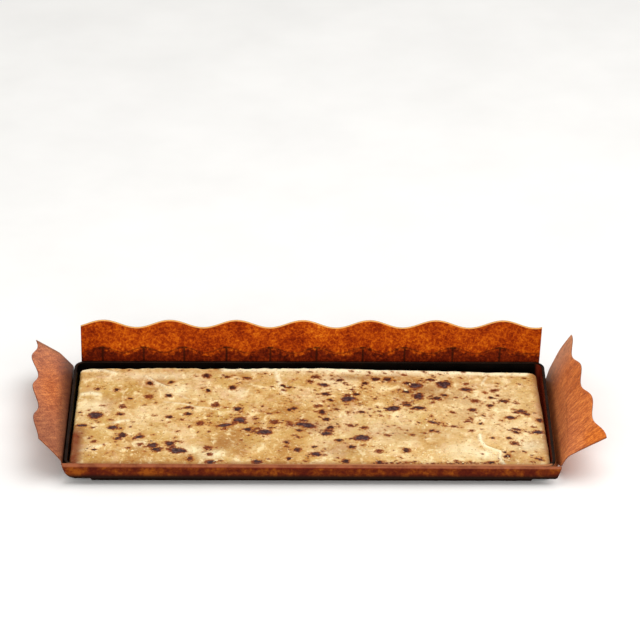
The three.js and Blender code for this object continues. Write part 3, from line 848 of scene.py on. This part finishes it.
def flake_mesh(flecks, sides, rings, proud, draw):
    """Flat uneven flakes that follow the face, with a depth of 1 in the middle and 0 at the rim.

    A quarter of the shorter ones are thin all over, which leaves them red-brown.
    """
    points, faces, depth, large = [], [], [], []
    for x, y, length, width, turn in flecks:
        start = len(points)
        angles = np.arange(sides) / sides * 2 * math.pi
        outline = flake_outline(angles, draw)
        thin = length < 4.6 and draw.random() < 0.25
        thickness = 0.35 if thin else draw.uniform(0.8, 1.1)
        points.append((x, y))
        depth.append(thickness)
        for ring in range(1, rings + 1):
            share = ring / rings
            along = np.cos(angles) * outline * length / 2 * share
            over = np.sin(angles) * outline * width / 2 * share
            dx, dy = turned(along, over, turn)
            points += list(zip(x + dx, y + dy))
            depth += [thickness * (1 - share ** 2)] * sides
        large += [float(ramp(length, 3, 6))] * (len(points) - start)
        for i in range(sides):
            after = (i + 1) % sides
            faces.append((start, start + 1 + i, start + 1 + after))
            for ring in range(rings - 1):
                inner = start + 1 + ring * sides
                outer = inner + sides
                faces.append((inner + i, outer + i, outer + after, inner + after))
    places = np.array(points)
    depth = np.array(depth, float)
    lift = proud * (np.sqrt(np.clip(depth, 0, 1)) * 1.1 - 0.35)
    x, y = places.T
    heights = face_height(x, y) + lift
    return np.column_stack([*placed(x, y), heights]), faces, depth, large


def satellites(large, draw):
    """Bits that lie round the large flecks, mostly along their length."""
    found = []
    for x, y, length, width, turn in large:
        for _ in range(int(length * 0.8)):
            along = draw.normal(0, length * 0.55 + 0.8)
            over = draw.normal(0, width * 0.5 + 0.6)
            size = mix(0.7, 0.5 * length, draw.random() ** 1.5)
            dx, dy = turned(along, over, turn)
            if abs(x + dx) < SLAB_LENGTH / 2 - 2 and abs(y + dy) < SLAB_DEPTH / 2 - 2:
                breadth, askew = size * draw.uniform(0.4, 0.8), draw.uniform(-25, 25)
                found.append((x + dx, y + dy, size, breadth, turn + askew))
    return found


def edge_bits(draw):
    """Dark bits along the right half of the front edge."""
    found = []
    for _ in range(EDGE_BITS):
        size = mix(0.8, 2.6, draw.random() ** 2)
        x, y, turn = draw.uniform(30, 90), draw.normal(-45.3, 0.7), draw.uniform(-30, 30)
        found.append((x, y, size, size * 0.6, turn))
    return found


def build_flecks(large, small, specks, draw):
    spice = spice_material(
        "spice",
        dark=((42, 14, 6), (60, 24, 12), (90, 46, 26)),
        thin=((84, 28, 4), (112, 44, 8), (150, 76, 22)),
        gloss=0.2,
        grey=((42, 18, 16), (64, 36, 35), (98, 70, 68)),
    )
    fine_spice = spice_material(
        "fine_spice",
        dark=((70, 26, 2), (100, 44, 6), (132, 68, 16)),
        thin=((120, 58, 8), (148, 82, 20), (176, 112, 42)),
        gloss=0.06,
    )
    for name, flecks, sides, rings, proud, darkness, material in (
        ("spice_flecks", large, 26, 4, 0.2, 1.0, spice),
        ("spice_small_flecks", small, 9, 2, 0.14, 0.42, spice),
        ("spice_specks", specks, 6, 1, 0.12, 0.7, fine_spice),
    ):
        points, faces, depth, size = flake_mesh(flecks, sides, rings, proud, draw)
        piece = make_mesh(name, points, faces, [material])
        set_values(piece, "depth", depth * darkness)
        set_values(piece, "large", size)
        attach(piece, "root")


def build_crumbs(draw):
    """Pale uneven crumbs, sunk to a third in the paste."""
    places = []
    for x, y, reach in CRUMB_PLACES:
        for _ in range(int(reach * CRUMBS_PER_REACH)):
            places.append((x + draw.normal(0, reach * 0.45), y + draw.normal(0, reach * 0.3)))
    for _ in range(LONE_CRUMBS):
        places.append((draw.uniform(-0.48, 0.48) * SLAB_LENGTH, draw.uniform(-0.48, 0.48) * SLAB_DEPTH))
    places = [
        (x, y) for x, y in places
        if abs(x) < SLAB_LENGTH / 2 - 1.5 and abs(y) < SLAB_DEPTH / 2 - 1.5
    ]
    xs, ys = np.array(places).T
    levels = face_height(xs, ys)
    xs, ys = placed(xs, ys)
    points, faces = [], []
    sides = 6
    for x, y, level in zip(xs, ys, levels):
        start = len(points)
        size = mix(0.35, 1.1, draw.random() ** 2)
        turn = math.degrees(draw.uniform(0, math.pi))
        flat = draw.uniform(0.45, 0.8)
        for high, wide in ((-0.3, 0.9), (0.25, 1.0), (0.6, 0.55)):
            for i in range(sides):
                angle = i / sides * 2 * math.pi
                spread = size * wide * draw.uniform(0.75, 1.2)
                dx, dy = turned(math.cos(angle) * spread, math.sin(angle) * spread * flat, turn)
                points.append((x + dx, y + dy, level + high * size * 0.7))
        points.append((x, y, level + 0.7 * size * 0.7))
        top = len(points) - 1
        for i in range(sides):
            after = (i + 1) % sides
            for ring in (0, 1):
                a, b = start + ring * sides + i, start + ring * sides + after
                faces.append((a, b, b + sides, a + sides))
            faces.append((start + 2 * sides + i, start + 2 * sides + after, top))
    piece = make_mesh("almond_crumbs", points, faces, [crumb_material()])
    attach(piece, "root")


# The tray

def rounded_ring(inset, z, corner_steps=14):
    half_x, half_y = RIM_LENGTH / 2 - inset, RIM_DEPTH / 2 - inset
    radius = max(RIM_RADIUS - inset, FOOT_RADIUS / 2)
    ring = []
    for corner in range(4):
        centre_x = (1 if corner in (0, 3) else -1) * (half_x - radius)
        centre_y = (1 if corner < 2 else -1) * (half_y - radius)
        for step in range(corner_steps + 1):
            turn = (corner + step / corner_steps) * math.pi / 2
            ring.append((centre_x + radius * math.cos(turn), centre_y + radius * math.sin(turn), z))
    return ring


def arc(centre, radius, start, end, steps):
    """Points of a section's rounding: (inset, height) pairs, angles in degrees."""
    angles = [math.radians(mix(start, end, i / steps)) for i in range(steps + 1)]
    return [(centre[0] + radius * math.cos(a), centre[1] + radius * math.sin(a)) for a in angles]


def tray_section():
    """From under the foot, up the outside, over the lip and down the inside, as (inset, height)."""
    def outer(z):
        return LIP_WIDTH - WALL + (RIM_TOP - z) * DRAFT

    def inner(z):
        return LIP_WIDTH + (RIM_TOP - z) * DRAFT

    lip_under = RIM_TOP - LIP_HEIGHT
    foot = (outer(TRAY_UNDERSIDE) + FOOT_RADIUS, TRAY_UNDERSIDE + FOOT_RADIUS)
    low = (inner(TRAY_FLOOR) + FOOT_RADIUS, TRAY_FLOOR + FOOT_RADIUS)
    round_in = LIP_ROUND * 0.8
    section = arc(foot, FOOT_RADIUS, 270, 180, 5)
    section += [(outer(lip_under) + 0.1, lip_under - 0.1), (outer(lip_under) - 0.15, lip_under)]
    section += arc((LIP_ROUND, lip_under + LIP_ROUND * 0.6), LIP_ROUND * 0.6, 270, 180, 4)
    section += arc((LIP_ROUND, RIM_TOP - LIP_ROUND), LIP_ROUND, 180, 90, 6)
    section += arc((LIP_WIDTH - round_in, RIM_TOP - round_in), round_in, 90, 0, 6)
    section += [(inner(z), z) for z in (7.5, 5.5, 3.5)]
    section += arc(low, FOOT_RADIUS, 180, 270, 5)
    return section


def build_tray():
    section = tray_section()
    rings = [rounded_ring(inset, z) for inset, z in section]
    count = len(rings[0])
    points = np.array([p for ring in rings for p in ring])
    faces = []
    for level in range(len(rings) - 1):
        for i in range(count):
            a, b = level * count + i, level * count + (i + 1) % count
            faces.append((a, a + count, b + count, b))
    faces.append(list(range(count)))
    last = (len(rings) - 1) * count
    faces.append([last + i for i in reversed(range(count))])
    piece = make_mesh("tray_shell", points, faces, [tray_wall_material(), tray_lip_material()])
    lip_foot = RIM_TOP - LIP_HEIGHT - 0.05
    for polygon in piece.data.polygons:
        lowest = min(points[i][2] for i in polygon.vertices)
        polygon.material_index = 1 if lowest > lip_foot else 0
    # Where the lip carries its painted reflection: the front
    set_values(piece, "front", 1 - ramp(points[:, 1], -49.6, -48.4))
    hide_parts("tray")
    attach(piece, "root")


# The paper liner

def scallop(along, waves):
    length, height, peak = waves
    return height * math.cos((along - peak) / length * 2 * math.pi)


def paper_course(bend, reach, steps):
    """The sheet from the fold at its foot: (out, up, slope, distance) on its inner face."""
    fold = FOLD_RADIUS * math.radians(bend["wall"])
    stride = 0.05
    s = np.arange(stride / 2, reach, stride)

    def slope_at(d):
        walled = bend["wall"] * np.clip(d / fold, 0, 1)
        opened = mix(walled, bend["open"], ramp(d, *bend["leave"]))
        return np.radians(mix(opened, bend["tip"], ramp(d, *bend["curl"])))

    slopes = slope_at(s)
    out = np.concatenate([[0], np.cumsum(np.cos(slopes) * stride)])
    up = np.concatenate([[PAPER], PAPER + np.cumsum(np.sin(slopes) * stride)])
    at = np.arange(len(out)) * stride
    stations = np.concatenate([np.linspace(0, fold, 5), np.linspace(fold, reach, steps + 1)[1:]])
    flat = [(-TUCKED_IN, PAPER, 0.0, -TUCKED_IN)]
    return np.array(flat + [
        (np.interp(d, at, out), np.interp(d, at, up), float(slope_at(d)), d) for d in stations
    ])


def mixed_bend(front, back, t):
    made = {}
    for key, value in front.items():
        if isinstance(value, tuple):
            made[key] = tuple(mix(a, b, t) for a, b in zip(value, back[key]))
        else:
            made[key] = mix(value, back[key], t)
    return made


class Sheet:
    """A sheet of paper: a grid of places along and out from the fold, with two faces and edges."""

    def __init__(self, inner, outer, distance, along):
        rows, columns, _ = inner.shape
        self.distance = np.broadcast_to(distance, (rows, columns))
        self.along = np.broadcast_to(np.reshape(along, (-1, 1)), (rows, columns))
        self.points = np.concatenate([inner.reshape(-1, 3), outer.reshape(-1, 3)])
        quads, rim = grid_faces(rows, columns)
        quads = quads[:, [0, 3, 2, 1]]
        after = np.roll(rim, -1)
        half = rows * columns
        edge = np.stack([rim, after, after + half, rim + half], axis=-1)
        self.faces = np.concatenate([quads, quads[:, ::-1] + half, edge]).tolist()
        self.edge_faces = len(edge)


def build_sheet(name, sheet, materials, values):
    """The paper's piece. Its cut edge is the second material. Values are for the grid's places."""
    piece = make_mesh(name, sheet.points, sheet.faces, materials)
    count = len(piece.data.polygons)
    for polygon in piece.data.polygons[count - sheet.edge_faces:]:
        polygon.material_index = len(materials) - 1
        polygon.use_smooth = False
    for key, value in values.items():
        set_values(piece, key, np.concatenate([value.ravel(), value.ravel()]))
    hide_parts("liner")
    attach(piece, "root")


def two_faces(out, up, slope):
    """The (out, up) of the sheet's inner face, and of its outer face below it."""
    return (out, up), (out + np.sin(slope) * PAPER, up - np.cos(slope) * PAPER)


def cut_away(up, cut):
    """How far the paper's corner is cut in, at a height."""
    depth, start, end = cut
    return depth * (1 - ramp(up, start, end))


def side_sheet(sign, flap):
    """A side wall with its flap, which changes from its front end to its back end."""
    steps = 110
    faces, distance = ([], []), []
    foot_f, reach_f, bend_f = flap["front"]
    foot_b, reach_b, bend_b = flap["back"]
    for step in range(steps + 1):
        t = step / steps
        bend = mixed_bend(bend_f, bend_b, 1 - (1 - t) ** flap["easing"])
        y_at = mix(-FLAP_DEPTH / 2, FLAP_DEPTH / 2, t)
        reach = mix(reach_f, reach_b, t) + scallop(y_at, flap["waves"])
        out, up, slope, d = paper_course(bend, reach, 44).T
        push = wander(np.full(len(d), y_at), d, 17, 3.3 + sign) * 0.22 * ramp(d, 10, 24)
        out, up = out + np.sin(slope) * push, up - np.cos(slope) * push
        foot = mix(foot_f, foot_b, t)
        for rows, (o, u) in zip(faces, two_faces(out, up, slope)):
            front_end = -FLAP_DEPTH / 2 + cut_away(u, FRONT_CUT)
            back_end = FLAP_DEPTH / 2 - cut_away(u, BACK_CUT)
            y = mix(front_end, back_end, t)
            rows.append(np.column_stack([sign * (foot + o), y, u]))
        distance.append(d)
    along = np.linspace(-FLAP_DEPTH / 2, FLAP_DEPTH / 2, steps + 1)
    grids = [np.array(rows) for rows in (*faces, distance, along)]
    return Sheet(*(grid[::-1] for grid in grids)) if sign > 0 else Sheet(*grids)


def side_values(sheet, sign):
    """Where a side flap has painted shade at its root and in its creases, and where it is warm or mauve.
    """
    d, y = sheet.distance, sheet.along
    lean = math.radians(-10 if sign > 0 else 55)
    across = y * math.cos(lean) + d * math.sin(lean)
    lengthwise = d * math.cos(lean) - y * math.sin(lean)
    # foot is painted shade at the root, and on the left flap towards its ends; the creases are painted
    # shade
    if sign > 0:
        foot = (1 - ramp(d, 1, 8)) * 0.35 + (1 - ramp(d, 8, 15)) * ramp(y, 5, 35) * 0.25
        warm = np.maximum(0.4 + ramp(d, 14, 30) * 0.25, (1 - ramp(y, -45, -18)) * ramp(d, 16, 28) * 0.85)
        mauve = ramp(y, 22, 44) * 0.75
        warm *= 1 - mauve * 0.5
        crease_shade = np.exp(-((d - 16.5 - (y + 20) * 0.06) / 0.35) ** 2)
        crease_shade *= ramp(y, -34, -26) * (1 - ramp(y, -6, 4)) * 0.5
        crease_shade = np.maximum(crease_shade, (1 - ramp(y, -50, -48.6)) * ramp(d, 16, 24) * 0.7)
    else:
        root = mix(14.0, 12.5, ramp(y, -45, 10))
        foot = np.maximum((1 - ramp(d, 5.5, root + 1)) * 0.95, (1 - ramp(d, 9, 20)) * 0.8)
        warm = np.exp(-((d - 22) / 9) ** 2 - ((y - 10) / 26) ** 2) * 0.45
        mauve = ramp(y, 44.5, 47.5) * ramp(d, 12, 20) * 0.4
        foot = np.maximum(foot, (1 - ramp(y, -40, 0)) * 0.22)
        foot = np.maximum(foot, ramp(y, 46, 49) * 0.4)
        crease_shade = np.exp(-((d - 14.5) / 0.4) ** 2) * np.exp(-((y - 5) / 5) ** 2) * 0.5
    return {
        "across": across,
        "along": lengthwise,
        "foot": foot,
        "warm": warm,
        "mauve": mauve,
        "crease_shade": crease_shade,
    }


def back_sheet():
    """The back wall with its upright flap, and how far each place is from its top edge."""
    foot = RIM_DEPTH / 2 + GAP - FOLD_RADIUS
    halfway = [(a + b) / 2 for a, b in zip(TICKS, TICKS[1:])]
    along = np.unique(np.concatenate([np.linspace(*BACK_ENDS, 260), TICKS, halfway]))
    faces, distance, from_edge = ([], []), [], []
    for x_at in along:
        t = (x_at - BACK_ENDS[0]) / (BACK_ENDS[1] - BACK_ENDS[0])
        reach = BACK_REACH + scallop(x_at, BACK_WAVES)
        out, up, slope, d = paper_course(BACK_BEND, reach, 40).T
        push = wander(np.full(len(d), x_at), d, 21, 7.7) * 0.2 * ramp(d, 12, 24)
        for rows, (o, u) in zip(faces, two_faces(out + push, up, slope)):
            x = x_at + t * BACK_FLARE * u / BACK_REACH
            rows.append(np.column_stack([x, foot + o, u]))
        distance.append(d)
        from_edge.append(reach - d)
    return Sheet(*map(np.array, faces), distance, along), np.array(from_edge)


def back_values(sheet, from_edge):
    """Distances that the flap's material draws its foot, its arches and its ticks from."""
    nearest = np.min([np.abs(sheet.along - tick) for tick in TICKS], axis=0)
    return {
        "distance": sheet.distance,
        "from_tick": nearest,
        # This distance also places the painted highlight along the top edge
        "from_edge": from_edge,
    }


def rounded_cut(radius, above):
    """How far a rounded corner takes an end in, at a height above that corner."""
    below = np.clip(radius - above, 0, radius)
    return radius - np.sqrt(radius ** 2 - below ** 2)


def front_sheet():
    """The front wall, which leans out past the lip, turns over it and hangs down a little.

    Also gives where it faces up, and how far each place is from the hanging edge.
    """
    steps = 220
    faces, distance, facing_up, from_edge = ([], []), [], [], []
    for t in np.linspace(1, 0, steps + 1):
        reach = mix(FRONT_LEFT[0], FRONT_RIGHT[0], t)
        bend = mixed_bend(FRONT_LEFT[1], FRONT_RIGHT[1], t)
        out, up, slope, d = paper_course(bend, reach, 60).T
        hanging = np.arange(len(up)) > np.argmax(up)
        ends = []
        for end, sign, radius in zip(FRONT_ENDS, (1, -1), FRONT_ROUNDS):
            slanted = FRONT_SLANT * (up.max() - up) + rounded_cut(radius, up - up[-1])
            ends.append(end + sign * np.where(hanging, slanted, cut_away(up, FRONT_CUT)))
        x = mix(*ends, t)
        for rows, (o, u) in zip(faces, two_faces(out, up, slope)):
            rows.append(np.column_stack([x, -(FRONT_FOOT + o), u]))
        distance.append(d)
        facing_up.append(ramp(np.degrees(slope), 45, 25) * ramp(np.degrees(slope), -70, -50))
        from_edge.append(reach - d)
    along = np.linspace(FRONT_ENDS[1], FRONT_ENDS[0], steps + 1)
    sheet = Sheet(*map(np.array, faces), distance, along)
    return sheet, np.array(facing_up), np.array(from_edge)


def build_base(material):
    """The level sheet under the tray, with rounded front corners."""
    front, back = -(FRONT_FOOT - TUCKED_IN / 2), RIM_DEPTH / 2 - TUCKED_IN / 2
    across = BASE_HALF_LENGTH - BASE_CORNER
    outline = [(BASE_HALF_LENGTH, back), (-BASE_HALF_LENGTH, back)]
    outline += arc((-across, front + BASE_CORNER), BASE_CORNER, 180, 270, 12)
    outline += arc((across, front + BASE_CORNER), BASE_CORNER, 270, 360, 12)
    count = len(outline)
    points = [(x, y, z) for z in (0, PAPER) for x, y in outline]
    faces = [list(range(count))[::-1], list(range(count, 2 * count))]
    faces += [(i, (i + 1) % count, (i + 1) % count + count, i + count) for i in range(count)]
    piece = make_mesh("liner_base", points, faces, [material], smooth=False)
    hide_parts("liner")
    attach(piece, "root")


def front_values(sheet, facing_up, from_edge):
    """Where the front flap faces up and carries its painted highlight, the painted shade line where it
    turns down, and the painted shadow along its hanging edge and on the wall behind.
    """
    falling = (from_edge < 8) * 1.0
    line = np.exp(-((facing_up - 0.25) / 0.22) ** 2) * falling
    # Painted shade on the wall behind the hanging part
    shaded_behind = 1 - ramp(sheet.distance, 8, 10.5)
    low = np.maximum(1 - ramp(from_edge, 0.5, 3.2), shaded_behind)
    return {
        "facing_up": facing_up,
        "crease_shade": line,
        "foot": low,
    }


def cut_edge_material(name, colour):
    """The cut edge of the paper, with a fibrous grain."""
    s = Shader(name)
    fibre = s.noise(0.9, detail=3)
    shade = s.mix(s.spread(fibre, 0.3, 0.7), colour, srgb(120, 62, 24))
    return s.finish(shade, 0.6, s.bump(fibre, 0.05), 0.2)


def build_liner():
    back, front = back_paper_material(), front_paper_material()
    side = side_paper_material()
    golden = cut_edge_material("liner_golden_edge", srgb(196, 126, 50))
    dark = cut_edge_material("liner_dark_edge", srgb(120, 62, 40))
    sheet, from_edge = back_sheet()
    build_sheet("liner_back_flap", sheet, [back, golden], back_values(sheet, from_edge))
    for name, sign, flap in (("liner_left_flap", -1, LEFT_FLAP), ("liner_right_flap", 1, RIGHT_FLAP)):
        sheet = side_sheet(sign, flap)
        build_sheet(name, sheet, [side, dark], side_values(sheet, sign))
    sheet, facing_up, from_edge = front_sheet()
    values = front_values(sheet, facing_up, from_edge)
    build_sheet("liner_front_wall", sheet, [front, dark], values)
    build_base(front)


# Floor, lights and camera

def build_floor():
    size = 4.0
    corners = [(-size, -size, 0), (size, -size, 0), (size, size, 0), (-size, size, 0)]
    floor = make_mesh("pale_floor", np.array(corners) / MM, [(0, 1, 2, 3)], [floor_material()])
    floor.location.z = -FLOOR_DROP


def add_light(name, place, target, size, power, colour=(1, 1, 1)):
    data = bpy.data.lights.new(name, "AREA")
    data.shape = "RECTANGLE"
    data.size, data.size_y = size
    data.energy = power
    data.color = colour
    lamp = bpy.data.objects.new(name, data)
    lamp.location = place
    lamp.rotation_euler = (Vector(target) - Vector(place)).to_track_quat("-Z", "Y").to_euler()
    bpy.context.scene.collection.objects.link(lamp)


def build_lights():
    world = bpy.data.worlds.new("studio")
    world.use_nodes = True
    world.node_tree.nodes["Background"].inputs["Color"].default_value = (1, 0.99, 0.97, 1)
    world.node_tree.nodes["Background"].inputs["Strength"].default_value = 0.55
    bpy.context.scene.world = world
    add_light("softbox_above", (0.25, -0.15, 1.1), (0, 0, 0), (1.1, 0.9), 9)
    add_light("softbox_front", (-0.15, -1.3, 0.55), (0, 0, 0.02), (1.2, 0.5), 7)


def build_camera():
    """The photograph's view, through a long lens."""
    data = bpy.data.cameras.new("photo_camera")
    data.sensor_width = 36
    data.lens = VIEW_LENS
    data.clip_start, data.clip_end = 0.1, 50
    camera = bpy.data.objects.new("photo_camera", data)
    place = Matrix.Translation(VIEW_TARGET)
    for degrees, axis in ((VIEW_AZIMUTH, "Z"), (90 - VIEW_ELEVATION, "X"), (VIEW_ROLL, "Z")):
        place = place @ Matrix.Rotation(math.radians(degrees), 4, axis)
    camera.matrix_world = place @ Matrix.Translation((0, 0, VIEW_DISTANCE))
    bpy.context.scene.collection.objects.link(camera)
    bpy.context.scene.camera = camera


def build():
    draw = np.random.default_rng(SEED)
    large = raised_flecks() + FLAT_FLECKS
    small = scattered(*SMALL_FLECKS, draw) + satellites(large, draw) + edge_bits(draw)
    specks = scattered(*SPECKS, draw)
    build_slab(large + small)
    build_flecks(large, small, specks, draw)
    build_crumbs(draw)
    build_tray()
    build_liner()
    build_floor()
    build_lights()
    build_camera()
    bpy.context.scene.view_settings.view_transform = "Standard"


build()
